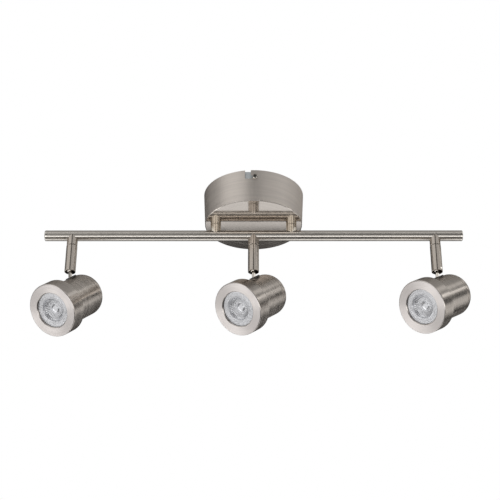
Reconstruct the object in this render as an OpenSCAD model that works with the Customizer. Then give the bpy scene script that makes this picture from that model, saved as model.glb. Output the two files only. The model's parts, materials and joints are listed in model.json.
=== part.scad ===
// Ceiling spotlight bar: a round canopy, a straight tube carried by two posts, and three lamp heads.
// Each head hangs from a stem that swivels under the bar, and tilts on two short pins in the stem's mouth.
// The origin is the centre of the canopy on the ceiling plane. +Z is up and +X runs along the bar.

/* [Canopy] */
// Diameter of the canopy's lower face
canopy_d = 120; // [114:1:130]
// How much wider the canopy is at the ceiling
canopy_flare = 3.8; // [0:0.2:6]
// Depth of the canopy below the ceiling
canopy_h = 42.2; // [40:0.2:48]
// Thickness of the canopy's spun sheet
canopy_wall = 1; // [0.8:0.1:1.3]
// Depth of the side screws below the ceiling
side_screw_drop = 9; // [8:0.5:11]

/* [Bar] */
// Length of the bar with its end caps
bar_length = 515.4; // [490:0.2:620]
// Diameter of the bar
bar_d = 13.2; // [13:0.1:14]
// Thickness of the bar's wall
bar_wall = 1; // [0.8:0.1:1.1]
// Depth of the bar's axis below the ceiling
bar_drop = 56.3; // [55:0.1:58]
// Distance between the two posts
post_spacing = 93.5; // [84:0.5:96]
// Diameter of a post
post_d = 12.8; // [12:0.1:12.8]

/* [Stems] */
// Distance from one stem to the next
stem_spacing = 223; // [200:1:236]
// Diameter of a stem
stem_d = 13.4; // [13.2:0.1:13.8]
// Thickness of a stem's wall
stem_wall = 0.9; // [0.8:0.1:1]
// Depth of a collar's lower end below the ceiling
collar_drop = 71; // [69:0.5:73]
// Depth of a stem's open mouth below the ceiling
mouth_drop = 107.1; // [106.5:0.1:107.5]
// Depth of the tilt pins below the ceiling
pivot_drop = 104; // [103.5:0.1:104.2]

/* [Heads] */
// Diameter of the bezel
bezel_d = 64.8; // [64:0.1:70]
// Length of the bezel along the beam
bezel_length = 19; // [18:0.5:21]
// Diameter of the bezel's opening
opening_d = 42.5; // [40:0.5:45]
// Diameter of the housing
housing_d = 51.4; // [51.2:0.1:54]
// Length of the whole head along the beam
head_length = 77.8; // [77:0.2:84]
// Radius of the housing's rounded rear edge
housing_round = 13.5; // [10:0.5:15]
// Diameter of the neck
neck_d = 4.4; // [4.2:0.1:4.6]
// Slant of the neck towards the beam, from square to the housing
neck_slant = 33; // [25:1:38]

/* [Aim] */
// Direction of each beam round the vertical at rest: left, centre and right head
rest_azimuth = [-126.4, -132, -139]; // [-180:0.1:180]
// Tilt of each beam below the horizontal at rest: left, centre and right head
rest_tilt = [39.7, 36.8, 32.3]; // [0:0.1:70]

/* [Hidden] */
SIDES = ["left", "centre", "right"];
STEM_NODES = ["stem_tube", "stem_bush", "pivot_fork", "pivot_pins", "stem_leads"];
HEAD_NODES = [
    "neck", "neck_screws", "housing", "bezel", "lamp_lens", "lamp_body", "lamp_holder", "holder_bracket"
];
FIXED_NODES = [
    "ceiling_bracket", "ground_screw", "canopy", "canopy_screws", "post_left", "post_right", "post_washers",
    "post_nuts", "bar_tube", "end_cap_left", "end_cap_right", "collar_left", "collar_centre", "collar_right",
    "swivel_nipples", "swivel_nuts", "line_leads", "neutral_leads", "ground_lead", "wire_nuts"
];

// Width of the small chamfer on turned edges
edge_ease = 0.3;

// Fineness of turned surfaces, and of small screws and wires
turned_fn = 96;
small_fn = 32;
// Overshoot of a cutting tool past the surface that it cuts
past = 1;

// Canopy and ceiling bracket
canopy_r = canopy_d / 2;
rim_r = canopy_r + canopy_flare / 2;
edge_round = 0.9;
notch_w = 7;
notch_h = 11.5;
notch_x = -6.6;
side_screw_x = 2;
side_slot_w = 4.4;
side_screw_r = 2;
side_screw_head_r = 3;
bracket_w = 22;
bracket_t = 1.6;
ear_h = 16;
ear_y = canopy_r - canopy_wall - 1.2;
box_slot_spacing = 79.4;
box_slot_length = 18.6;
box_slot_r = 2.3;
centre_hole_r = 5.2;
ground_screw_y = 24;
ground_screw_r = 2;

// Bar, posts and collars
bar_r = bar_d / 2;
bar_bore_r = bar_r - bar_wall;
cap_dome = 3;
cap_spigot = 8;
cap_edge = 1.6;
cap_side = 1.2;
post_r = post_d / 2;
post_x = [-post_spacing / 2, post_spacing / 2];
post_thread_r = 3.2;
post_bore_r = 2.1;
post_thread_top = 32;
nut_across = 11;
nut_h = 3.5;
washer_r = 7.5;
washer_t = 1.2;
stem_x = [-stem_spacing, 0, stem_spacing];
collar_r = bar_r - 0.08;
nipple_r = 4;
nipple_bore_r = 2.9;
nipple_top = bar_drop + bar_r - bar_wall - 2;
nipple_bottom = 82;
swivel_nut_r = 5.3;
swivel_nut_h = 3;

// Stems
groove = 0.6;
stem_r = stem_d / 2;
stem_bore_r = stem_r - stem_wall;
stem_top = collar_drop + groove;
bush_l = 6.4;
running_gap = 0.06;
ear_gap = 0.3;
ear_t = 1.8;
ear_w = 6;
fork_plug_top = 94;
fork_plug_bottom = 100.6;
fork_ear_bottom = 106.3;
fork_bore_r = 2.2;
pin_r = 1.1;
pin_inner = 1.45;
pin_head_r = 1.7;
pin_head_t = 0.55;

// Heads: the pivot is above the head's axis and behind its front face
axis_drop = 34.7;
front_x = 60.5;
bezel_r = bezel_d / 2;
bezel_wall = 1.2;
bezel_lip = 1.6;
bezel_round = 1.2;
opening_chamfer = 0.7;
opening_r = opening_d / 2;
housing_r = housing_d / 2;
housing_wall = 1.2;
skirt_r = bezel_r - bezel_wall - 0.05;
skirt_front = 9;
skirt_back = bezel_length - 0.4;
groove_station = 63;
groove_w = 0.7;
groove_depth = 0.35;
neck_r = neck_d / 2;
neck_bore_r = 1.3;
barrel_r = 2.9;
foot_h = 1;
foot_w = 8;
foot_front = 12.5;
foot_back = -4.2;
foot_screw_x = [-1, 9.6];
foot_screw_r = 1.25;
foot_screw_head_r = 2.4;
foot_screw_head_h = 1.4;
surface_drop = axis_drop - housing_r;
neck_foot_x = surface_drop * tan(neck_slant);

// Lamp, holder and bracket, by their distance behind the front face
lamp_front = bezel_lip + 0.15;
lamp_r = 25;
lens_r = 23.4;
lens_front = lamp_front + 0.5;
lens_back = lens_front + 2.2;
lens_gap = 0.05;
bowl_r = 13.8;
bowl_depth = 5;
dome_r = 5.4;
dome_h = 1.2;
boss_r = 15.4;
boss_back = lens_front + bowl_depth + 1.2;
lamp_rim = 6;
lamp_cone_end = 33;
lamp_cone_r = 15.5;
lamp_neck_r = 12.5;
lamp_base_end = 48;
lamp_pin_end = 54.5;
lamp_pin_r = 1.6;
lamp_pin_foot_r = 2.35;
lamp_pin_spacing = 10;
holder_front = 48.2;
holder_back = 62;
holder_r = 12.8;
strap_w = 14;
strap_t = 1.2;
strap_leg_y = 9.5;

// Wires
lead_r = 0.85;
lead_y = 1.5;
riser_squeeze = 0.74;
// Step in the lamp's side behind its rim, and the length over which its side changes
lamp_step = 1.2;
lamp_run = 2;

// ---------- Shared helpers ----------

// Swivelling frame of one stem: +X points along the beam's direction seen from above
module stem_frame(i) {
    translate([stem_x[i], 0, 0])
        rotate([0, 0, rest_azimuth[i]])
            children();
}

// Tilting frame of one head: the origin is on the tilt pins, +X runs along the beam
module head_frame(i) {
    stem_frame(i)
        translate([0, 0, -pivot_drop])
            rotate([0, rest_tilt[i], 0])
                children();
}

// Turned frame of one head: +Z runs back from the front face, +X points to the neck
module turned_frame(i) {
    head_frame(i)
        translate([front_x, 0, -axis_drop])
            rotate([0, -90, 0])
                children();
}

// Tube or rod along Z between two depths below the ceiling
module drop_rod(r, top, bottom, fn = small_fn) {
    translate([0, 0, -bottom])
        cylinder(r = r, h = bottom - top, $fn = fn);
}

// Solid rod along Z with eased outer edges at its ends
module eased_rod(r, top, bottom) {
    rotate_extrude($fn = turned_fn)
        polygon([
            [0, -bottom], [r - edge_ease, -bottom], [r, -bottom + edge_ease],
            [r, -top - edge_ease], [r - edge_ease, -top], [0, -top]
        ]);
}

// Straight insulated wire between two points, with a ball at its far end
module wire(from, to, r = lead_r) {
    run = to - from;
    length = norm(run);
    turn = atan2(run[1], run[0]);
    lean = acos(run[2] / length);
    translate(from)
        rotate([0, lean, turn])
            cylinder(r = r, h = length, $fn = small_fn);
    translate(to)
        sphere(r = r * 1.12, $fn = small_fn);
}

// Wire through a list of points
module wire_path(points, r = lead_r) {
    for (k = [1 : len(points) - 1])
        wire(points[k - 1], points[k], r);
}

// ---------- Canopy ----------

module bayonet_slot() {
    translate([notch_x - notch_w / 2, -rim_r - past, -notch_h])
        cube([notch_w, 4 + past, notch_h + past]);
    translate([notch_x, -rim_r - past, -side_screw_drop - side_slot_w / 2])
        cube([side_screw_x - notch_x, 4 + past, side_slot_w]);
    translate([side_screw_x, -rim_r - past, -side_screw_drop])
        rotate([-90, 0, 0])
            cylinder(r = side_slot_w / 2, h = 4 + past, $fn = small_fn);
}

module canopy() {
    color("silver")
        difference() {
            rotate_extrude($fn = turned_fn)
                polygon(concat(
                    [[0, -canopy_h]],
                    [for (a = [-90 : 22.5 : 0])
                        [canopy_r - edge_round * (1 - cos(a)), edge_round * (1 + sin(a)) - canopy_h]],
                    [[rim_r, 0], [rim_r - canopy_wall, 0]],
                    [[canopy_r - canopy_wall, -canopy_h + canopy_wall], [0, -canopy_h + canopy_wall]]
                ));
            for (x = post_x)
                translate([x, 0, 0])
                    drop_rod(post_thread_r + 0.1, canopy_h - canopy_wall - past, canopy_h + past);
            for (turn = [0, 180])
                rotate([0, 0, turn])
                    bayonet_slot();
        }
}

module canopy_screws() {
    color("silver")
        for (turn = [0, 180])
            rotate([0, 0, turn])
                translate([side_screw_x, -rim_r - 1.6, -side_screw_drop])
                    rotate([-90, 0, 0])
                        canopy_screw();
}

module canopy_screw() {
    head_h = 2;
    shank_l = 8.4;
    slot_w = 0.8;
    slot_depth = 0.9;
    difference() {
        union() {
            cylinder(r1 = side_screw_head_r - 0.7, r2 = side_screw_head_r, h = 0.7, $fn = small_fn);
            translate([0, 0, 0.7])
                cylinder(r = side_screw_head_r, h = head_h - 0.7, $fn = small_fn);
            translate([0, 0, head_h])
                cylinder(r = side_screw_r, h = shank_l - head_h, $fn = small_fn);
        }
        for (turn = [45, 135])
            rotate([0, 0, turn])
                translate([-slot_w / 2, -2, -past])
                    cube([slot_w, 4, slot_depth + past]);
    }
}

module ceiling_bracket() {
    color("lightsteelblue")
        difference() {
            union() {
                translate([-bracket_w / 2, -ear_y, -bracket_t])
                    cube([bracket_w, 2 * ear_y, bracket_t]);
                for (side = [-1, 1])
                    translate([-bracket_w / 2, side * (ear_y - bracket_t / 2) - bracket_t / 2, -ear_h])
                        cube([bracket_w, bracket_t, ear_h]);
            }
            for (side = [-1, 1])
                translate([0, side * box_slot_spacing / 2, 0])
                    box_slot();
            drop_rod(centre_hole_r, -past, bracket_t + past);
            translate([0, ground_screw_y, 0])
                drop_rod(ground_screw_r, -past, bracket_t + past);
            for (turn = [0, 180])
                rotate([0, 0, turn])
                    translate([side_screw_x, -ear_y - past, -side_screw_drop])
                        rotate([-90, 0, 0])
                            cylinder(r = side_screw_r, h = bracket_t + 2 * past, $fn = small_fn);
        }
}

// Slot that runs along the bracket, for a screw into the outlet box
module box_slot() {
    reach = box_slot_length / 2 - box_slot_r;
    for (side = [-1, 1])
        translate([0, side * reach, 0])
            drop_rod(box_slot_r, -past, bracket_t + past);
    translate([-box_slot_r, -reach, -bracket_t - past])
        cube([2 * box_slot_r, 2 * reach, bracket_t + 2 * past]);
}

module ground_screw() {
    color("green")
        translate([0, ground_screw_y, 0])
            union() {
                drop_rod(ground_screw_r, 0, bracket_t + 1.5);
                difference() {
                    drop_rod(3.9, bracket_t + 1, bracket_t + 3);
                    translate([-0.5, -5, -bracket_t - 4])
                        cube([1, 10, 1.8]);
                }
            }
}

// ---------- Posts and bar ----------

// Turned post with a hollow threaded end that passes up through the canopy's face
module post(x) {
    color("silver")
        translate([x, 0, 0])
            difference() {
                union() {
                    difference() {
                        eased_rod(post_r, canopy_h, bar_drop);
                        translate([-post_r - past, 0, -bar_drop])
                            rotate([0, 90, 0])
                                cylinder(r = bar_r, h = 2 * (post_r + past), $fn = turned_fn);
                    }
                    drop_rod(post_thread_r, post_thread_top, bar_drop - bar_bore_r + 1.5);
                }
                drop_rod(post_bore_r, post_thread_top - past, bar_drop);
            }
}

module post_washers() {
    color("gainsboro")
        for (x = post_x)
            translate([x, 0, 0])
                difference() {
                    drop_rod(washer_r, canopy_h - canopy_wall - washer_t, canopy_h - canopy_wall);
                    drop_rod(post_thread_r + 0.15, canopy_h - canopy_wall - washer_t - past, canopy_h);
                }
}

module post_nuts() {
    nut_bottom = canopy_h - canopy_wall - washer_t;
    color("gainsboro")
        for (x = post_x)
            translate([x, 0, 0])
                difference() {
                    drop_rod(nut_across / 2 / cos(30), nut_bottom - nut_h, nut_bottom, 6);
                    drop_rod(post_thread_r, nut_bottom - nut_h - past, nut_bottom + past);
                }
}

module bar_tube() {
    tube_half = bar_length / 2 - cap_dome;
    color("silver")
        difference() {
            translate([-tube_half, 0, -bar_drop])
                rotate([0, 90, 0])
                    difference() {
                        cylinder(r = bar_r, h = 2 * tube_half, $fn = turned_fn);
                        translate([0, 0, -past])
                            cylinder(r = bar_bore_r, h = 2 * (tube_half + past), $fn = turned_fn);
                    }
            for (x = post_x)
                translate([x, 0, 0])
                    drop_rod(post_thread_r, bar_drop - bar_r - past, bar_drop - 2);
            for (x = stem_x)
                translate([x, 0, 0])
                    drop_rod(nipple_r, bar_drop + 2, bar_drop + bar_r + past);
        }
}

// Domed plug that closes one end of the bar
module end_cap(side) {
    color("whitesmoke")
        translate([side * (bar_length / 2 - cap_dome), 0, -bar_drop])
            rotate([0, side * 90, 0])
                rotate_extrude($fn = turned_fn)
                    polygon(concat(
                        [[0, -cap_spigot], [bar_bore_r - 0.6, -cap_spigot], [bar_bore_r, -cap_spigot + 0.6]],
                        [[bar_bore_r, 0], [bar_r, 0]],
                        [for (a = [0 : 15 : 90])
                            [bar_r - cap_edge * (1 - cos(a)), cap_dome - cap_edge + cap_side * sin(a)]],
                        [[0, cap_dome]]
                    ));
}

// Short saddle piece brazed under the bar
module collar(x) {
    color("silver")
        translate([x, 0, 0])
            difference() {
                eased_rod(collar_r, bar_drop, collar_drop);
                translate([-collar_r - past, 0, -bar_drop])
                    rotate([0, 90, 0])
                        cylinder(r = bar_r, h = 2 * (collar_r + past), $fn = turned_fn);
                drop_rod(nipple_r, bar_drop, collar_drop + past);
            }
}

module swivel_nipples() {
    color("darkgray")
        for (x = stem_x)
            translate([x, 0, 0])
                difference() {
                    drop_rod(nipple_r, nipple_top, nipple_bottom);
                    drop_rod(nipple_bore_r, nipple_top - past, nipple_bottom + past);
                }
}

module swivel_nuts() {
    nut_top = stem_top + bush_l + 0.4;
    color("gainsboro")
        for (x = stem_x)
            translate([x, 0, 0])
                difference() {
                    drop_rod(swivel_nut_r, nut_top, nut_top + swivel_nut_h, 6);
                    drop_rod(nipple_r, nut_top - past, nut_top + swivel_nut_h + past);
                }
}

// ---------- Stems ----------

module stem_tube(i) {
    color("silver")
        stem_frame(i)
            difference() {
                eased_rod(stem_r, stem_top, mouth_drop);
                drop_rod(stem_bore_r, stem_top - past, mouth_drop + past, turned_fn);
                translate([0, -stem_r - past, -pivot_drop])
                    rotate([-90, 0, 0])
                        cylinder(r = pin_r, h = 2 * (stem_r + past), $fn = small_fn);
            }
}

// Bearing bush fixed in the stem's upper end, which turns on the nipple
module stem_bush(i) {
    color("goldenrod")
        stem_frame(i)
            difference() {
                drop_rod(stem_bore_r, stem_top, stem_top + bush_l, turned_fn);
                drop_rod(nipple_r + running_gap, stem_top - past, stem_top + bush_l + past, turned_fn);
            }
}

module pivot_fork(i) {
    inner = neck_r + ear_gap;
    color("dimgray")
        stem_frame(i)
            difference() {
                union() {
                    drop_rod(stem_bore_r, fork_plug_top, fork_plug_bottom, turned_fn);
                    for (side = [-1, 1])
                        translate([-ear_w / 2, side * (inner + ear_t / 2) - ear_t / 2, -fork_ear_bottom])
                            cube([ear_w, ear_t, fork_ear_bottom - fork_plug_bottom + 1]);
                }
                drop_rod(fork_bore_r, fork_plug_top - past, fork_plug_bottom + past);
                translate([0, -stem_r, -pivot_drop])
                    rotate([-90, 0, 0])
                        cylinder(r = pin_r, h = 2 * stem_r, $fn = small_fn);
            }
}

// Two short pins with low heads, one from each side of the stem
module pivot_pins(i) {
    color("silver")
        stem_frame(i)
            for (turn = [0, 180])
                rotate([0, 0, turn])
                    translate([0, pin_inner, -pivot_drop])
                        rotate([-90, 0, 0])
                            union() {
                                cylinder(r = pin_r, h = stem_r - pin_inner, $fn = small_fn);
                                translate([0, 0, stem_r - 0.2 - pin_inner])
                                    cylinder(r1 = pin_head_r, r2 = pin_head_r - 0.4, h = pin_head_t,
                                        $fn = small_fn);
                            }
}

module stem_leads(i) {
    colours = ["black", "white"];
    stem_frame(i)
        for (k = [0, 1])
            color(colours[k])
                translate([0, (2 * k - 1) * 1.05, 0])
                    drop_rod(lead_r, nipple_top + 6, fork_plug_bottom);
}

// ---------- Heads ----------

// Neck with its pinned barrel and its curved foot
module neck(i) {
    color("whitesmoke")
        head_frame(i)
            difference() {
                union() {
                    rotate([90, 0, 0])
                        cylinder(r = barrel_r, h = 2 * neck_r, center = true, $fn = small_fn);
                    rotate([0, 180 - neck_slant, 0])
                        cylinder(r = neck_r, h = surface_drop / cos(neck_slant) + 0.5, $fn = small_fn);
                    neck_foot();
                }
                rotate([0, 180 - neck_slant, 0])
                    cylinder(r = neck_bore_r, h = 3 * surface_drop, $fn = small_fn);
                rotate([90, 0, 0])
                    cylinder(r = pin_r + running_gap, h = 4 * neck_r, center = true, $fn = small_fn);
                translate([front_x, 0, -axis_drop])
                    rotate([0, -90, 0])
                        cylinder(r = housing_r, h = head_length, $fn = turned_fn);
                for (x = foot_screw_x)
                    translate([x, 0, -surface_drop - past])
                        cylinder(r = foot_screw_r, h = past + foot_h * 0.7, $fn = small_fn);
            }
}

// Pad with round ends that lies on the housing
module neck_foot() {
    end_r = foot_w / 2;
    intersection() {
        translate([foot_back + end_r, 0, -axis_drop])
            rotate([0, 90, 0])
                translate([0, 0, -end_r - past])
                    cylinder(r = housing_r + foot_h, h = foot_front - foot_back + 2 * past, $fn = turned_fn);
        union() {
            for (x = [foot_back + end_r, foot_front - end_r])
                translate([x, 0, -surface_drop - 2])
                    cylinder(r = end_r, h = 4, $fn = small_fn);
            translate([foot_back + end_r, -end_r, -surface_drop - 2])
                cube([foot_front - foot_back - foot_w, foot_w, 4]);
        }
    }
}

module neck_screws(i) {
    inner_drop = surface_drop + housing_wall;
    color("gainsboro")
        head_frame(i)
            for (x = foot_screw_x)
                translate([x, 0, -inner_drop - foot_screw_head_h])
                    difference() {
                        union() {
                            cylinder(r = foot_screw_head_r, h = foot_screw_head_h, $fn = small_fn);
                            cylinder(r = foot_screw_r, h = foot_screw_head_h + housing_wall + foot_h * 0.6,
                                $fn = small_fn);
                        }
                        translate([-2, -0.35, -past])
                            cube([4, 0.7, past + 0.7]);
                    }
}

// Half-section of a cup that is round at its closed end
function cup_end(r, back, round) = concat(
    [for (a = [0 : 7.5 : 90]) [r - round + round * cos(a), back - round + round * sin(a)]],
    [[0, back]]
);

function reversed(points) = [for (k = [len(points) - 1 : -1 : 0]) points[k]];

module housing(i) {
    seam_front = groove_station - groove_w / 2;
    seam_back = groove_station + groove_w / 2;
    color("silver")
        turned_frame(i)
            difference() {
                rotate_extrude($fn = turned_fn)
                    polygon(concat(
                        [[skirt_r - housing_wall, skirt_front], [skirt_r, skirt_front]],
                        [[skirt_r, skirt_back], [housing_r, skirt_back]],
                        [[housing_r, seam_front], [housing_r - groove_depth, seam_front]],
                        [[housing_r - groove_depth, seam_back], [housing_r, seam_back]],
                        cup_end(housing_r, head_length, housing_round),
                        reversed(cup_end(housing_r - housing_wall, head_length - housing_wall,
                            housing_round - housing_wall)),
                        [[housing_r - housing_wall, skirt_back - housing_wall]],
                        [[skirt_r - housing_wall, skirt_back - housing_wall]]
                    ));
                for (x = foot_screw_x)
                    translate([0, 0, front_x - x])
                        rotate([0, 90, 0])
                            cylinder(r = foot_screw_r, h = 2 * housing_r, $fn = small_fn);
                translate([0, 0, front_x - neck_foot_x])
                    rotate([0, 90, 0])
                        cylinder(r = neck_bore_r + 0.5, h = 2 * housing_r, $fn = small_fn);
            }
}

module bezel(i) {
    inner_r = bezel_r - bezel_wall;
    color("gainsboro")
        turned_frame(i)
            rotate_extrude($fn = turned_fn)
                polygon(concat(
                    [[opening_r, bezel_lip], [opening_r, opening_chamfer], [opening_r + opening_chamfer, 0]],
                    [for (a = [0 : 18 : 90])
                        [bezel_r - bezel_round * (1 - sin(a)), bezel_round * (1 - cos(a))]],
                    [[bezel_r, bezel_length - edge_ease], [bezel_r - edge_ease, bezel_length]],
                    [[inner_r, bezel_length], [inner_r, bezel_lip]]
                ));
}

// Clear lens: a thin flange, and a bowl with a low dome at its bottom
module lamp_lens(i) {
    color("lightgray")
        turned_frame(i)
            rotate_extrude($fn = turned_fn)
                polygon(concat(
                    [for (a = [0 : 15 : 90])
                        [dome_r * sin(a), lens_front + bowl_depth - dome_h * cos(a)]],
                    [for (a = [15 : 15 : 90])
                        [dome_r + (bowl_r - dome_r) * sin(a), lens_front + bowl_depth * cos(a)]],
                    [[lens_r, lens_front], [lens_r, lens_back], [boss_r, lens_back]],
                    [[boss_r, boss_back], [0, boss_back]]
                ));
}

module lamp_body(i) {
    color("whitesmoke")
        turned_frame(i) {
            rotate_extrude($fn = turned_fn)
                polygon([
                    [0, boss_back], [boss_r + lens_gap, boss_back], [boss_r + lens_gap, lens_back],
                    [lens_r + lens_gap, lens_back], [lens_r + lens_gap, lamp_front],
                    [lamp_r - edge_ease, lamp_front], [lamp_r, lamp_front + edge_ease], [lamp_r, lamp_rim],
                    [lamp_r - lamp_step, lamp_rim + lamp_run], [lamp_cone_r, lamp_cone_end],
                    [lamp_neck_r, lamp_cone_end + lamp_run], [lamp_neck_r, lamp_base_end], [0, lamp_base_end]
                ]);
            for (side = [-1, 1])
                translate([0, side * lamp_pin_spacing / 2, lamp_base_end - 0.5])
                    lamp_pin();
        }
}

module lamp_pin() {
    pin_l = lamp_pin_end - lamp_base_end + 0.5;
    foot_l = 2.2;
    cylinder(r = lamp_pin_r, h = pin_l, $fn = small_fn);
    translate([0, 0, pin_l - foot_l])
        cylinder(r = lamp_pin_foot_r, h = foot_l, $fn = small_fn);
}

// Ceramic twist-and-lock holder with a key-shaped hole for each lamp pin
module lamp_holder(i) {
    pocket_depth = lamp_pin_end - holder_front + 1;
    color("ivory")
        turned_frame(i)
            difference() {
                translate([0, 0, holder_front])
                    cylinder(r = holder_r, h = holder_back - holder_front, $fn = turned_fn);
                for (side = [-1, 1])
                    translate([0, side * lamp_pin_spacing / 2, holder_front - past])
                        cylinder(r = lamp_pin_foot_r + 0.35, h = pocket_depth + past, $fn = small_fn);
            }
}

// Bent strap behind the holder, with its two feet on the housing's rear wall
module holder_bracket(i) {
    rear = head_length - housing_wall;
    color("lightsteelblue")
        turned_frame(i)
            union() {
                translate([-strap_w / 2, -strap_leg_y, holder_back])
                    cube([strap_w, 2 * strap_leg_y, strap_t]);
                for (side = [-1, 1])
                    translate([-strap_w / 2, side * (strap_leg_y - strap_t / 2) - strap_t / 2, holder_back])
                        cube([strap_w, strap_t, rear - holder_back]);
            }
}

// ---------- Wires ----------

// One insulated lead of the bar: y is its side of the bar's axis, and end is its wire nut's mouth
module bar_lead(y, end) {
    riser = [post_x[0], y * riser_squeeze, -post_thread_top + 3];
    for (x = stem_x)
        translate([x, y, 0])
            drop_rod(lead_r, bar_drop, nipple_top + 5.5);
    translate([stem_x[0], y, -bar_drop])
        rotate([0, 90, 0])
            cylinder(r = lead_r, h = stem_x[2] - stem_x[0], $fn = small_fn);
    for (x = [stem_x[0], stem_x[2]])
        translate([x, y, -bar_drop])
            sphere(r = lead_r * 1.12, $fn = small_fn);
    wire([riser[0], riser[1], -bar_drop], riser);
    wire(riser, end);
}

module line_leads() {
    color("black")
        bar_lead(-lead_y, wire_nut_mouth(0));
}

module neutral_leads() {
    color("white")
        bar_lead(lead_y, wire_nut_mouth(-1));
}

module ground_lead() {
    start = [0, ground_screw_y - 4.6, -bracket_t - lead_r * 1.2];
    color("green")
        wire_path([start, [-8, 8, -12], wire_nut_mouth(1)]);
}

// Middle of the open end of a wire nut
function wire_nut_mouth(k) = [-34 + 12 * k, 8, -24];

module wire_nuts() {
    color("orange")
        for (k = [-1 : 1])
            translate(wire_nut_mouth(k) + [0, 1, 0])
                rotate([-90, 0, 0])
                    cylinder(r1 = 5, r2 = 3.4, h = 18, $fn = small_fn);
}

// ---------- Output ----------

ceiling_bracket();
ground_screw();
canopy();
canopy_screws();
post(post_x[0]);  // post_left
post(post_x[1]);  // post_right
post_washers();
post_nuts();
bar_tube();
end_cap(-1);  // end_cap_left
end_cap(1);  // end_cap_right
collar(stem_x[0]);  // collar_left
collar(stem_x[1]);  // collar_centre
collar(stem_x[2]);  // collar_right
swivel_nipples();
swivel_nuts();
line_leads();
neutral_leads();
ground_lead();
wire_nuts();

for (i = [0 : 2]) {
    stem_tube(i);
    stem_bush(i);
    pivot_fork(i);
    pivot_pins(i);
    stem_leads(i);
    neck(i);
    neck_screws(i);
    housing(i);
    bezel(i);
    lamp_lens(i);
    lamp_body(i);
    lamp_holder(i);
    holder_bracket(i);
}
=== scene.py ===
"""Looks of the ceiling spotlight bar: camera, soft studio light, materials and fine detail."""
import json
import math

import bmesh
import bpy
from mathutils import Matrix, Vector


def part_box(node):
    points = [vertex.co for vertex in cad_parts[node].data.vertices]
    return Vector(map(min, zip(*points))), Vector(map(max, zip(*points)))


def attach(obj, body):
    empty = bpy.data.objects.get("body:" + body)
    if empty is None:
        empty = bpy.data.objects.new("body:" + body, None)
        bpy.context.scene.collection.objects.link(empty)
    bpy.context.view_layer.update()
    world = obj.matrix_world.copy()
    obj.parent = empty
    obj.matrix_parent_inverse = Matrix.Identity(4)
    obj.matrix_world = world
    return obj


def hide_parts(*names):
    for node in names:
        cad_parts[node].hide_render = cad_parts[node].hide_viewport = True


SIDES = ("left", "centre", "right")
Z_AXIS = Vector((0, 0, 1))
X_AXIS = Vector((1, 0, 0))


# ---------- Frame ----------


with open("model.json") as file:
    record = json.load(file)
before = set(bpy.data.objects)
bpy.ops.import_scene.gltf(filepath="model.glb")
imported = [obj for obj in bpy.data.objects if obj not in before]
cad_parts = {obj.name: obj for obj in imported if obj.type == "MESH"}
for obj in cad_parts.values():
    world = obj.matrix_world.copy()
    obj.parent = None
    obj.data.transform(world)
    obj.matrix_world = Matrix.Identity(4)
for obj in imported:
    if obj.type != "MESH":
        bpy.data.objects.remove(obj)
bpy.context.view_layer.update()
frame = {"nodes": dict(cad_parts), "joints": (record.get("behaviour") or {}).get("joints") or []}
joints = {joint["name"]: joint for joint in frame["joints"]}
nodes = frame["nodes"]

# Tilt of a beam below the horizontal at its joint's lower limit, in degrees
LOWEST_TILT = -5.0


class Head:
    """Place and direction of one lamp head at rest."""

    def __init__(self, side):
        joint = joints["tilt_" + side]
        self.side = side
        self.body = "head_" + side
        self.hinge = Vector(joint["axis"])
        self.pivot = Vector(joint["pos_m"])
        tilt = math.radians(LOWEST_TILT - joint["range_deg"][0])
        level = self.hinge.cross(Z_AXIS)
        self.beam = (level * math.cos(tilt) - Z_AXIS * math.sin(tilt)).normalized()
        self.up = (level * math.sin(tilt) + Z_AXIS * math.cos(tilt)).normalized()
        bezel = [v.co for v in nodes["bezel_" + side].data.vertices]
        middle = sum(bezel, Vector()) / len(bezel)
        front = max((point - self.pivot).dot(self.beam) for point in bezel)
        drop = (middle - self.pivot).dot(self.up)
        self.face = self.pivot + self.beam * front + self.up * drop

    def off_axis(self, point):
        """Distance of a point from the beam's axis."""
        place = point - self.face
        return (place - self.beam * place.dot(self.beam)).length

    def matrix(self):
        """Turned frame: +Z runs forward along the beam from the middle of the front face."""
        side = self.beam.cross(self.up).normalized()
        turned = Matrix((self.up, side, self.beam)).transposed().to_4x4()
        turned.translation = self.face
        return turned


heads = {side: Head(side) for side in SIDES}


# ---------- Camera ----------

# Place in metres, angles in degrees and focal length on a sensor of this width in millimetres
CAMERA_AT = Vector((0.00711, -1.42799, -0.87623))
CAMERA_PITCH = 29.253
CAMERA_YAW = 0.456
CAMERA_ROLL = 0.214
CAMERA_LENS = 96.16
SENSOR_WIDTH = 36
NEAR_CLIP = 0.01


def add_camera():
    """Camera below the fixture and in front of it, looking up at it."""
    pitch = Matrix.Rotation(math.radians(90 + CAMERA_PITCH), 4, "X")
    yaw = Matrix.Rotation(math.radians(CAMERA_YAW), 4, "Z")
    roll = Matrix.Rotation(math.radians(CAMERA_ROLL), 4, "Z")
    data = bpy.data.cameras.new("camera")
    data.lens = CAMERA_LENS
    data.sensor_width = SENSOR_WIDTH
    data.clip_start = NEAR_CLIP
    camera = bpy.data.objects.new("camera", data)
    camera.matrix_world = Matrix.Translation(CAMERA_AT) @ yaw @ pitch @ roll
    bpy.context.scene.collection.objects.link(camera)
    bpy.context.scene.camera = camera


# ---------- Node helpers ----------

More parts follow.
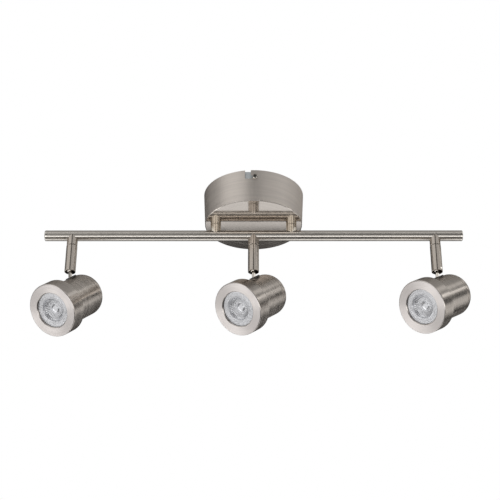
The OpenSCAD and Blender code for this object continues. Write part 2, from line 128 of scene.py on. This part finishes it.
class Tree:
    """Short calls for building a shader tree."""

    def __init__(self, tree):
        self.tree = tree
        self.tree.nodes.clear()

    def add(self, kind, inputs=(), **settings):
        node = self.tree.nodes.new(kind)
        for name, value in settings.items():
            setattr(node, name, value)
        for key, value in dict(inputs).items():
            self.set(node.inputs[key], value)
        return node

    def set(self, socket, value):
        if isinstance(value, bpy.types.NodeSocket):
            self.tree.links.new(value, socket)
        else:
            socket.default_value = value

    def math(self, operation, a, b=0.0):
        node = self.add("ShaderNodeMath", {0: a, 1: b}, operation=operation)
        return node.outputs[0]

    def vector(self, operation, a, b=(0, 0, 0)):
        node = self.add("ShaderNodeVectorMath", {0: a, 1: b}, operation=operation)
        return node.outputs["Value" if operation in ("DOT_PRODUCT", "LENGTH") else "Vector"]

    def scale(self, vector, factor):
        node = self.add("ShaderNodeVectorMath", {0: vector, "Scale": factor}, operation="SCALE")
        return node.outputs["Vector"]

    def noise(self, vector, scale=1.0, detail=2.0, roughness=0.5):
        inputs = {"Vector": vector, "Scale": scale, "Detail": detail, "Roughness": roughness}
        return self.add("ShaderNodeTexNoise", inputs).outputs["Fac"]

    def remap(self, value, low, high, to_low=0.0, to_high=1.0, smooth=False):
        kind = "SMOOTHSTEP" if smooth else "LINEAR"
        inputs = {"Value": value, "From Min": low, "From Max": high,
                  "To Min": to_low, "To Max": to_high}
        return self.add("ShaderNodeMapRange", inputs, interpolation_type=kind).outputs["Result"]

    def mix(self, factor, a, b):
        node = self.add("ShaderNodeMix", {"Factor": factor, "A": a, "B": b}, data_type="FLOAT")
        return node.outputs[0]

    def mix_colour(self, factor, a, b):
        node = self.add("ShaderNodeMix", data_type="RGBA")
        self.set(node.inputs[0], factor)
        self.set(node.inputs[6], a)
        self.set(node.inputs[7], b)
        return node.outputs[2]


def rgba(colour):
    return (*colour, 1.0)


def new_material(name):
    material = bpy.data.materials.new(name)
    material.use_nodes = True
    return material, Tree(material.node_tree)


def finish_material(tree, shader):
    tree.add("ShaderNodeOutputMaterial", {"Surface": shader.outputs[0]})


# ---------- Metals ----------

# Brush lines in lines per metre, from broad bands to hairlines, with how much each counts
BRUSH = ((260, 0.5), (900, 0.35), (2800, 0.15))
# How fast a brush line changes along its own length, per metre
LINE_DRIFT = 16
# Tint of what metal gives back at grazing angles, kept dark so that round shapes have dark outlines
EDGE_TINT = (0.42, 0.4, 0.38, 1.0)
# A face counts as flat from here on: how far its normal leans to the axis, as a cosine
FLAT_FROM, FLAT_FULL = 0.6, 0.85
# How much full brush lines darken and brighten the metal, and smooth and roughen it
LINE_TONE = (0.13, 0.1)
LINE_ROUGH = (0.04, 0.05)
# The part of a noise that carries its contrast, for brush lines and for clouds
LINE_SPAN = (0.35, 0.65)
CLOUD_SPAN = (0.3, 0.7)


def turned_metal(name, colour, origin, axis, wall, face=0.2, lines=1.0, stretch=0.9, lit_face_colour=None):
    """Nickel brushed round an axis: its walls have lines round them, its flat faces have rings.

    wall and face are the roughness of the two, lines says how strong the brush lines are, and
    stretch is how far the highlights are drawn out across them. lit_face_colour, where given, is a lighter
    colour for the flat faces: a painted highlight.
    """
    material, tree = new_material(name)
    axis = tuple(axis)
    point = tree.add("ShaderNodeTexCoord").outputs["Object"]
    normal = tree.add("ShaderNodeNewGeometry").outputs["True Normal"]
    place = tree.vector("SUBTRACT", point, tuple(origin))
    height = tree.vector("DOT_PRODUCT", place, axis)
    across = tree.vector("SUBTRACT", place, tree.scale(axis, height))
    radius = tree.vector("LENGTH", across)
    facing = tree.math("ABSOLUTE", tree.vector("DOT_PRODUCT", normal, axis))
    flat = tree.remap(facing, FLAT_FROM, FLAT_FULL, smooth=True)
    step = tree.mix(flat, height, radius)
    drift = tree.scale(place, LINE_DRIFT)
    wear = 0.0
    for density, share in BRUSH:
        fast = tree.scale(axis, tree.math("MULTIPLY", step, density))
        layer = tree.noise(tree.vector("ADD", drift, fast), 1.0, 1.0)
        wear = tree.math("ADD", wear, tree.math("MULTIPLY", layer, share))
    cloud = tree.noise(place, 30.0, 3.0)
    darker, brighter = (share * lines for share in LINE_TONE)
    smoother, rougher = (share * lines for share in LINE_ROUGH)
    tone = tree.remap(wear, *LINE_SPAN, 1.0 - darker, 1.0 + brighter)
    tone = tree.math("MULTIPLY", tone, tree.remap(cloud, *CLOUD_SPAN, 0.97, 1.03))
    rough = tree.mix(flat, wall, face)
    rough = tree.math("ADD", rough, tree.remap(wear, *LINE_SPAN, -smoother, rougher))
    rough = tree.math("ADD", rough, tree.remap(cloud, *CLOUD_SPAN, -0.015, 0.015))
    bump = tree.add("ShaderNodeBump", {"Strength": 0.05 * lines, "Distance": 0.00004, "Height": wear})
    along = tree.scale(axis, tree.math("SUBTRACT", 1.0, flat))
    outward = tree.scale(tree.vector("NORMALIZE", across), flat)
    tangent = tree.vector("NORMALIZE", tree.vector("ADD", along, outward))
    # Flat faces take the lighter face colour where one is given: a painted highlight
    base = tree.mix_colour(flat, rgba(colour), rgba(lit_face_colour or colour))
    shader = tree.add("ShaderNodeBsdfPrincipled", {
        "Base Color": tree.scale(base, tone), "Metallic": 1.0, "Roughness": rough,
        "Specular Tint": EDGE_TINT, "Anisotropic": stretch, "Tangent": tangent,
        "Normal": bump.outputs["Normal"]})
    finish_material(tree, shader)
    return material


def plain_metal(name, colour, rough=0.3, spangle=0.05, scale=220.0):
    """Pressed or plated metal with a faint mottle and small handling marks."""
    material, tree = new_material(name)
    point = tree.add("ShaderNodeTexCoord").outputs["Object"]
    mottle = tree.noise(point, scale, 4.0, 0.6)
    marks = tree.noise(tree.vector("MULTIPLY", point, (900, 260, 500)), 1.0, 2.0)
    tone = tree.remap(mottle, *CLOUD_SPAN, 1.0 - spangle, 1.0 + spangle)
    roughness = tree.remap(marks, *CLOUD_SPAN, rough - 0.05, rough + 0.06)
    bump = tree.add("ShaderNodeBump", {"Strength": 0.08, "Distance": 0.00005, "Height": mottle})
    shader = tree.add("ShaderNodeBsdfPrincipled", {
        "Base Color": tree.scale(tuple(colour), tone), "Metallic": 1.0, "Roughness": roughness,
        "Specular Tint": EDGE_TINT, "Normal": bump.outputs["Normal"]})
    finish_material(tree, shader)
    return material


def moulded(name, colour, rough, coat=0.0):
    """Moulded plastic, rubber insulation or ceramic with a fine surface grain."""
    material, tree = new_material(name)
    point = tree.add("ShaderNodeTexCoord").outputs["Object"]
    fine = tree.noise(point, 900.0, 3.0)
    cloud = tree.noise(point, 60.0, 2.0)
    tone = tree.remap(cloud, *CLOUD_SPAN, 0.94, 1.06)
    roughness = tree.remap(fine, *CLOUD_SPAN, rough - 0.05, rough + 0.05)
    bump = tree.add("ShaderNodeBump", {"Strength": 0.1, "Distance": 0.00005, "Height": fine})
    shader = tree.add("ShaderNodeBsdfPrincipled", {
        "Base Color": tree.scale(tuple(colour), tone), "Roughness": roughness, "Coat Weight": coat,
        "Normal": bump.outputs["Normal"]})
    finish_material(tree, shader)
    return material


def lens_material(name, colour):
    """Clear moulded lens over a bright reflector, which together look pale grey and glitter; the brighter
    middles of small cells in its colour are painted glints.
    """
    material, tree = new_material(name)
    point = tree.add("ShaderNodeTexCoord").outputs["Object"]
    cells = tree.add("ShaderNodeTexVoronoi", {"Vector": point, "Scale": 680.0}).outputs["Distance"]
    cloud = tree.noise(point, 260.0, 2.0)
    # Painted glints: small cells, about a bead across, are brighter in the middle
    painted_glints = tree.remap(cells, 0.1, 0.7, 1.14, 0.86)
    tone = tree.math("MULTIPLY", painted_glints, tree.remap(cloud, *CLOUD_SPAN, 0.93, 1.06))
    roughness = tree.remap(cloud, *CLOUD_SPAN, 0.1, 0.2)
    shader = tree.add("ShaderNodeBsdfPrincipled", {
        "Base Color": tree.scale(tuple(colour), tone), "Roughness": roughness, "Metallic": 0.6,
        "Coat Weight": 1.0, "Coat Roughness": 0.05})
    finish_material(tree, shader)
    return material


# ---------- Detail pieces ----------

MM = 0.001


def mesh_piece(name, bm, material, body, replaced):
    """Turn a bmesh into a smooth piece that rides on a body and stands for a CAD node."""
    bmesh.ops.recalc_face_normals(bm, faces=bm.faces)
    mesh = bpy.data.meshes.new(name)
    bm.to_mesh(mesh)
    bm.free()
    mesh.shade_smooth()
    mesh.materials.append(material)
    piece = bpy.data.objects.new(name, mesh)
    bpy.context.scene.collection.objects.link(piece)
    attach(piece, body)
    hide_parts(*replaced)


def skin(bm, rows, place):
    """Join closed rows of points, in millimetres, with faces; a row at one point closes an end."""
    made = []
    for row in rows:
        if len(set(row)) == 1:
            made.append([bm.verts.new(place @ (Vector(row[0]) * MM))] * len(row))
        else:
            made.append([bm.verts.new(place @ (Vector(point) * MM)) for point in row])
    for inner, outer in zip(made, made[1:]):
        for k in range(len(inner)):
            after = (k + 1) % len(inner)
            face = list(dict.fromkeys((inner[k], outer[k], outer[after], inner[after])))
            if len(face) > 2:
                bm.faces.new(face)


def revolve(bm, rings, count, place):
    """Skin rings of (radius, station function) round the beam, behind the front face."""
    turns = [math.tau * k / count for k in range(count)]
    rows = []
    for radius, station in rings:
        if radius == 0:
            rows.append([(0, 0, -station(0.0))] * count)
        else:
            rows.append([(radius * math.cos(turn), radius * math.sin(turn), -station(turn))
                         for turn in turns])
    skin(bm, rows, place)


# Lens, in millimetres: a dome at the bottom of a beaded bowl, then rings of finer beads round it
LENS_R = 23.3
LENS_FLANGE = 2.1
LENS_STEP = 0.3
LENS_SEGMENTS = 288
BOWL_R = 13.8
BOWL_DEPTH = 4.9
RIM_HEIGHT = 0.35
RIM_WIDTH = 1
DOME_R = 5.4
DOME_H = 1.2
BOSS_R = 15.3
BOSS_DEPTH = 6.1
# First and last ring of beads, their pitch and height: on the bowl, and on the flat rim
BEADS = ((7.2, 12.6, 1.8, 0.3), (15.0, 21.9, 1.38, 0.32))
RIM_BEAD_HEIGHT = BEADS[1][3]
# Spacing of beads along their ring and reach of one bead, as shares of the pitch
BEAD_SPACING = 1.05
BEAD_REACH = 0.56
# How far each ring is turned past the one inside it, in beads
RING_TURN = 0.17


def bead_height(radius, turn):
    """Height of the beads above the lens at one point."""
    for first, last, pitch, height in BEADS:
        if first - pitch / 2 <= radius <= last + pitch / 2:
            ring = round((radius - first) / pitch)
            middle = first + ring * pitch
            count = round(math.tau * middle / (pitch * BEAD_SPACING))
            place = turn / math.tau * count + 0.5 * (ring % 2) + RING_TURN * ring
            across = (place - round(place)) * math.tau * radius / count
            away = math.hypot(across, radius - middle) / (pitch * BEAD_REACH)
            return height * max(0.0, 1.0 - away * away)
    return 0.0


def lens_profile(radius):
    """Depth of the plain lens surface behind its flat rim."""
    if radius <= DOME_R:
        return BOWL_DEPTH - DOME_H * math.sqrt(1 - (radius / DOME_R) ** 2)
    if radius <= BOWL_R:
        part = (radius - DOME_R) / (BOWL_R - DOME_R)
        return BOWL_DEPTH * math.sqrt(1 - part * part)
    if radius <= BOWL_R + RIM_WIDTH:
        return -RIM_HEIGHT * math.sin(math.pi * (radius - BOWL_R) / RIM_WIDTH)
    return 0.0


def front_station(node, head):
    """Distance of a node's foremost point behind the head's front face, in millimetres."""
    return min((head.face - vert.co).dot(head.beam) for vert in nodes[node].data.vertices) / MM


def add_lens(head, material):
    """Lens with its bowl, dome and beads, in the place of the CAD's plain one."""
    station = front_station("lamp_lens_" + head.side, head) + RIM_BEAD_HEIGHT / 2

    def surface(radius):
        return lambda turn: station + lens_profile(radius) - bead_height(radius, turn)

    count = round(LENS_R / LENS_STEP)
    radii = [LENS_R * k / count for k in range(count + 1)]
    rings = [(radius, surface(radius)) for radius in radii]
    flange = station + LENS_FLANGE - RIM_BEAD_HEIGHT
    boss = station + BOSS_DEPTH - RIM_BEAD_HEIGHT / 2
    rings += [(LENS_R, lambda turn: flange), (BOSS_R, lambda turn: flange)]
    rings += [(BOSS_R, lambda turn: boss), (0, lambda turn: boss)]
    bm = bmesh.new()
    revolve(bm, rings, LENS_SEGMENTS, head.matrix())
    name = "beaded_lens_" + head.side
    mesh_piece(name, bm, material, head.body, ["lamp_lens_" + head.side])


# Wire nuts, in millimetres: a ribbed cone with a smooth skirt, and two wings near its mouth
NUT_RIBS = 12
NUT_SEGMENTS = 96
NUT_STEPS = 24
NUT_RIB = 0.35
NUT_WING = 1.3
NUT_LIP = 0.3
# Radius of the bore and of the closed end, as shares of the mouth's radius
NUT_BORE = 0.62
NUT_TIP = 0.68
# Radius of the bore at its end, as a share of what it is at the mouth
BORE_TAPER = 0.9
# Places along a nut as shares of its length: the bore's end, the ribs' start, end and run-out, and
# the wings' middle and reach
BORE_END = 0.35
RIBS_START, RIBS_END, RIB_FADE = 0.3, 0.95, 0.05
WING_MIDDLE, WING_REACH = 0.22, 0.13
# A high power makes the wings thin
WING_POWER = 12
# The end closes over the last part of the length
CLOSING_START, CLOSING_SHARE = 0.9, 0.6


def islands(node):
    """Corner points of each separate solid of a node, from its lowest X to its highest."""
    bm = bmesh.new()
    bm.from_mesh(nodes[node].data)
    bmesh.ops.remove_doubles(bm, verts=bm.verts, dist=1e-6)
    left, found = set(bm.verts), []
    while left:
        stack, solid = [left.pop()], []
        while stack:
            vert = stack.pop()
            solid.append(vert.co.copy())
            for edge in vert.link_edges:
                other = edge.other_vert(vert)
                if other in left:
                    left.remove(other)
                    stack.append(other)
        found.append(solid)
    bm.free()
    return sorted(found, key=lambda solid: min(point.x for point in solid))


def nut_radius(part, turn, mouth):
    """Outer radius of a wire nut at one share of its length."""
    plain = mouth + (mouth * NUT_TIP - mouth) * part
    ribbed = min(1.0, max(0.0, (part - RIBS_START) / RIB_FADE))
    ribbed *= min(1.0, max(0.0, (RIBS_END - part) / RIB_FADE))
    ribs = NUT_RIB * ribbed * (0.5 + 0.5 * math.cos(NUT_RIBS * turn))
    near = math.exp(-((part - WING_MIDDLE) / WING_REACH) ** 2)
    wing = NUT_WING * near * max(0.0, math.cos(2 * turn)) ** WING_POWER
    closed = max(0.0, part - CLOSING_START) / (1 - CLOSING_START)
    return (plain - ribs) * math.sqrt(max(0.0, 1 - closed ** 2 * CLOSING_SHARE)) + wing


def nut_row(depth, radius_at):
    """Closed row of points round a nut at one depth from its mouth."""
    turns = [math.tau * k / NUT_SEGMENTS for k in range(NUT_SEGMENTS)]
    return [(radius_at(turn) * math.cos(turn), radius_at(turn) * math.sin(turn), depth)
            for turn in turns]


def add_wire_nuts(material):
    """Ribbed twist-on connectors, one for each cone that the CAD has."""
    for k, cone in enumerate(islands("wire_nuts")):
        low = [min(point[i] for point in cone) for i in range(3)]
        high = [max(point[i] for point in cone) for i in range(3)]
        length = (high[1] - low[1]) / MM
        mouth = (high[2] - low[2]) / 2 / MM
        place = Matrix(((1, 0, 0), (0, 0, -1), (0, 1, 0))).to_4x4()
        place.translation = Vector(((low[0] + high[0]) / 2, low[1], (low[2] + high[2]) / 2))
        rows = [[(0, 0, length * BORE_END)] * NUT_SEGMENTS]
        rows.append(nut_row(length * BORE_END, lambda turn: mouth * NUT_BORE * BORE_TAPER))
        rows.append(nut_row(NUT_LIP, lambda turn: mouth * NUT_BORE))
        for step in range(NUT_STEPS + 1):
            part = step / NUT_STEPS
            rows.append(nut_row(length * part, lambda turn: nut_radius(part, turn, mouth)))
        rows.append([(0, 0, length)] * NUT_SEGMENTS)
        bm = bmesh.new()
        skin(bm, rows, place)
        name = "ribbed_wire_nut_%d" % (k + 1)
        mesh_piece(name, bm, material, "fixture", ["wire_nuts"])


# ---------- Assigning materials ----------

NICKEL = (0.66, 0.61, 0.565)
CANOPY_NICKEL = (0.77, 0.715, 0.665)
BAR_NICKEL = (0.74, 0.70, 0.65)
STEM_NICKEL = (0.50, 0.455, 0.41)
POST_NICKEL = (0.70, 0.645, 0.56)
# Lighter nickel for the front ring's flat face than for its walls: a painted highlight
LIT_FACE_NICKEL = (0.73, 0.69, 0.675)
BRIGHT_NICKEL = (0.86, 0.82, 0.76)
ZINC = (0.84, 0.89, 0.92)
LENS_COLOUR = (0.78, 0.79, 0.825)
# How strongly each head's shell is brushed
BRUSHING = {"left": 0.9, "centre": 0.9, "right": 0.5}


def dress(node, material):
    """Give a node one material."""
    obj = nodes[node]
    obj.data.materials.clear()
    obj.data.materials.append(material)


def dress_faces(node, material, chosen):
    """Give a second material to the faces of a node whose middle point is chosen."""
    mesh = nodes[node].data
    mesh.materials.append(material)
    for face in mesh.polygons:
        if chosen(face.center):
            face.material_index = 1


# Cross recess of a side screw, in millimetres: its least and most depth and its reach from the axis. Faces
# inside it are given dark metal as painted shade.
RECESS = (0.05, 1.0, 2.05)


def in_recess(node):
    """Test for points inside the cross recesses of two screws that face -Y and +Y."""
    points = [vert.co for vert in nodes[node].data.vertices]
    outer = max(abs(point.y) for point in points)
    axes = {}
    for facing in (False, True):
        own = [point for point in points if (point.y > 0) == facing]
        axes[facing] = [(min(point[i] for point in own) + max(point[i] for point in own)) / 2
                        for i in (0, 2)]

    def inside(middle):
        x, z = axes[middle.y > 0]
        depth = (outer - abs(middle.y)) / MM
        return RECESS[0] < depth < RECESS[1] and math.hypot(middle.x - x, middle.z - z) < RECESS[2] * MM
    return inside


def dress_fixed(dark):
    """Canopy, bar, posts and wiring; gives back the two metals that the heads use as well."""
    origin = Vector((0, 0, 0))
    bar_low, bar_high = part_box("bar_tube")
    bar_middle = (bar_low + bar_high) / 2
    canopy_metal = turned_metal("canopy_nickel", CANOPY_NICKEL, origin, Z_AXIS,
                                wall=0.48, face=0.1, lines=0.6, stretch=0.3)
    bar_metal = turned_metal("bar_nickel", BAR_NICKEL, bar_middle, X_AXIS, wall=0.26, lines=0.2)
    bright = plain_metal("bright_nickel", BRIGHT_NICKEL, 0.08, 0.03)
    zinc = plain_metal("zinc_plate", ZINC, 0.46, 0.1, 420.0)
    dress("canopy", canopy_metal)
    dress("bar_tube", bar_metal)
    for name in ("canopy_screws", "end_cap_left", "end_cap_right"):
        dress(name, bright)
    # Painted shade: the faces inside the screws' cross recesses get the dark metal
    dress_faces("canopy_screws", dark, in_recess("canopy_screws"))
    for name in ("post_left", "post_right"):
        low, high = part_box(name)
        post_metal = turned_metal(name + "_nickel", POST_NICKEL, (low + high) / 2, Z_AXIS,
                                  wall=0.2, lines=0.3)
        dress(name, post_metal)
    for name in ("ceiling_bracket", "post_washers", "post_nuts", "swivel_nipples", "swivel_nuts"):
        dress(name, zinc)
    dress("ground_screw", plain_metal("green_plate", (0.06, 0.36, 0.14), 0.3))
    dress("line_leads", moulded("black_insulation", (0.02, 0.02, 0.022), 0.45))
    dress("neutral_leads", moulded("white_insulation", (0.82, 0.81, 0.78), 0.45))
    dress("ground_lead", moulded("green_insulation", (0.04, 0.32, 0.1), 0.45))
    add_wire_nuts(moulded("orange_nut", (0.85, 0.26, 0.04), 0.38))
    return bright, zinc


def dress_stem(head, bright):
    """Collar, tube and pins of one stem."""
    low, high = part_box("collar_" + head.side)
    middle = (low + high) / 2
    metal = turned_metal("stem_nickel_" + head.side, STEM_NICKEL, middle, Z_AXIS,
                         wall=0.22, face=0.25, lines=0.4)
    dress("collar_" + head.side, metal)
    dress("stem_tube_" + head.side, metal)
    dress("pivot_pins_" + head.side, bright)


# Height of the neck's foot over its underside, in millimetres; the foot is given dark metal as painted
# shade where the neck meets the head
FOOT_HEIGHT = 1.1


def dress_head(head, bright, dark):
    """Shell, front ring and neck of one lamp head, with painted shade on the neck's foot."""
    lines = BRUSHING[head.side]
    shell = turned_metal("housing_nickel_" + head.side, NICKEL, head.face, head.beam,
                         wall=0.26, face=0.26, lines=lines)
    ring = turned_metal("bezel_nickel_" + head.side, NICKEL, head.face, head.beam,
                        wall=0.24, face=0.3, lines=lines, lit_face_colour=LIT_FACE_NICKEL)
    dress("housing_" + head.side, shell)
    dress("bezel_" + head.side, ring)
    dress("neck_" + head.side, bright)
    # Painted shade: the faces of the neck's foot, next to the head, get the dark metal
    sole = min(head.off_axis(vert.co) for vert in nodes["neck_" + head.side].data.vertices)
    foot = sole + FOOT_HEIGHT * MM
    dress_faces("neck_" + head.side, dark, lambda middle: head.off_axis(middle) < foot)


def dress_all():
    """Materials of every CAD node, and the pieces that stand for some of them."""
    # Dark steel of the pivot forks, also used as painted shade in the screws' recesses and at the necks'
    # feet
    dark = plain_metal("dark_steel", (0.16, 0.155, 0.15), 0.4)
    bright, zinc = dress_fixed(dark)
    brass = plain_metal("turned_brass", (0.72, 0.52, 0.22), 0.3)
    lamp = moulded("lamp_shell", (0.8, 0.8, 0.79), 0.35)
    ceramic = moulded("glazed_ceramic", (0.84, 0.82, 0.76), 0.25, coat=0.5)
    wire = moulded("stem_lead_insulation", (0.8, 0.79, 0.76), 0.45)
    for head in heads.values():
        dress_stem(head, bright)
        dress_head(head, bright, dark)
        dress("stem_bush_" + head.side, brass)
        dress("pivot_fork_" + head.side, dark)
        dress("stem_leads_" + head.side, wire)
        dress("neck_screws_" + head.side, zinc)
        dress("holder_bracket_" + head.side, zinc)
        dress("lamp_body_" + head.side, lamp)
        dress("lamp_holder_" + head.side, ceramic)
        add_lens(head, lens_material("lens_" + head.side, LENS_COLOUR))


# ---------- Studio ----------

# The floor's depth under the ceiling and half its width, in metres
FLOOR_DEPTH = 1.3
FLOOR_REACH = 4.0


def add_floor():
    """Pale floor that lights the fixture from below; metal doesn't mirror it."""
    mesh = bpy.data.meshes.new("studio_floor")
    points = [(x * FLOOR_REACH, y * FLOOR_REACH, -FLOOR_DEPTH)
              for x, y in ((-1, -1), (1, -1), (1, 1), (-1, 1))]
    mesh.from_pydata(points, [], [(0, 1, 2, 3)])
    floor = bpy.data.objects.new("studio_floor", mesh)
    bpy.context.scene.collection.objects.link(floor)
    material, tree = new_material("pale_floor")
    point = tree.add("ShaderNodeTexCoord").outputs["Object"]
    tone = tree.remap(tree.noise(point, 3.0, 2.0), 0.3, 0.7, 0.86, 0.88)
    shader = tree.add("ShaderNodeBsdfPrincipled", {"Base Color": (0.87, 0.87, 0.87, 1), "Roughness": tone})
    finish_material(tree, shader)
    mesh.materials.append(material)
    floor.visible_glossy = False


# Soft panels round the object, as a photographer hangs them: direction round the vertical from behind
# the object towards its right, height, half width, half height and edge, all in degrees, and strength
PANELS = (
    (97, -14, 36, 17, 5, 0.9),
    (84, 30, 20, 4, 2, 1.35),
    (72, 50, 18, 5, 3, 0.5),
    (66, 11, 12, 3, 2, 0.85),
    (38, 32, 13, 14, 5, 0.85),
    (136, 34, 28, 13, 5, 0.78),
    (-135, 34, 30, 13, 5, 0.95),
    (-80, 32, 20, 14, 8, 0.35),
    (-138, -2, 24, 16, 6, 0.8),
    (-95, -34, 32, 18, 6, 0.95),
    (-58, 0, 14, 24, 5, 0.2),
    (157, -38, 15, 11, 4, 1.7),
    (-157, -38, 15, 11, 4, 1.7),
    (172, -14, 26, 8, 4, 0.18),
    (0, -66, 70, 7, 3, 1.15),
)
# The ceiling's and the floor's own glow, where each begins and is full as the sine of the height,
# and what is left everywhere else
CEILING_GLOW = 0.3
CEILING_SPAN = (0.5, 0.9)
FLOOR_GLOW = 0.1
FLOOR_SPAN = (-0.86, -0.98)
STUDIO_BASE = 0.07
# A panel shows only ahead of its own plane: cosines where it begins and is full
AHEAD_SPAN = (0.05, 0.1)


def panel_light(tree, direction, azimuth, height, half_width, half_height, edge, strength):
    """Glow of one soft panel as seen along a direction."""
    turn, lift = math.radians(azimuth), math.radians(height)
    level = math.cos(lift)
    toward = Vector((level * math.sin(turn), level * math.cos(turn), math.sin(lift)))
    right = toward.cross(Z_AXIS).normalized()
    above = right.cross(toward)
    ahead = tree.vector("DOT_PRODUCT", direction, tuple(toward))
    shape = tree.remap(ahead, *AHEAD_SPAN)
    for across, half in ((right, half_width), (above, half_height)):
        offset = tree.math("ABSOLUTE", tree.vector("DOT_PRODUCT", direction, tuple(across)))
        angle = tree.math("DEGREES", tree.math("ARCTAN2", offset, ahead))
        shape = tree.math("MULTIPLY", shape, tree.remap(angle, half + edge, half - edge, smooth=True))
    return tree.math("MULTIPLY", shape, strength)


def add_world():
    """Studio of soft panels that the metal mirrors, with plain white behind the fixture."""
    world = bpy.data.worlds.new("studio")
    bpy.context.scene.world = world
    world.use_nodes = True
    tree = Tree(world.node_tree)
    direction = tree.add("ShaderNodeTexCoord").outputs["Generated"]
    height = tree.vector("DOT_PRODUCT", direction, (0, 0, 1))
    total = STUDIO_BASE
    for span, glow in ((CEILING_SPAN, CEILING_GLOW), (FLOOR_SPAN, FLOOR_GLOW)):
        total = tree.math("ADD", total, tree.remap(height, *span, 0.0, glow, smooth=True))
    for panel in PANELS:
        total = tree.math("ADD", total, panel_light(tree, direction, *panel))
    studio = tree.add("ShaderNodeBackground", {"Color": (1.0, 0.99, 0.975, 1), "Strength": total})
    backdrop = tree.add("ShaderNodeBackground", {"Color": (1, 1, 1, 1), "Strength": 1.0})
    seen = tree.add("ShaderNodeLightPath").outputs["Is Camera Ray"]
    mixed = tree.add("ShaderNodeMixShader", {0: seen, 1: studio.outputs[0], 2: backdrop.outputs[0]})
    tree.add("ShaderNodeOutputWorld", {"Surface": mixed.outputs[0]})


def add_softbox(name, at, toward, size, power, mirrored=False):
    """Area light that metal shows only if it is mirrored."""
    data = bpy.data.lights.new(name, "AREA")
    data.shape = "RECTANGLE"
    data.size, data.size_y = size
    data.energy = power
    light = bpy.data.objects.new(name, data)
    look = (Vector(toward) - Vector(at)).to_track_quat("-Z", "Y")
    light.matrix_world = Matrix.Translation(at) @ look.to_matrix().to_4x4()
    light.visible_camera = False
    light.visible_glossy = mirrored
    bpy.context.scene.collection.objects.link(light)


def add_lights():
    add_softbox("key_softbox", (-1.1, -1.3, 0.5), (0, 0, -0.1), (1.0, 0.7), 5)
    add_softbox("fill_softbox", (1.3, -0.9, -0.2), (0, 0, -0.1), (0.5, 1.1), 3)
    add_softbox("low_card", (0, 0.5, -0.58), (0, -0.5, -0.58), (1.6, 0.5), 1.75, mirrored=True)


def main():
    scene = bpy.context.scene
    scene.view_settings.view_transform = "Standard"
    add_camera()
    dress_all()
    add_floor()
    add_world()
    add_lights()


main()
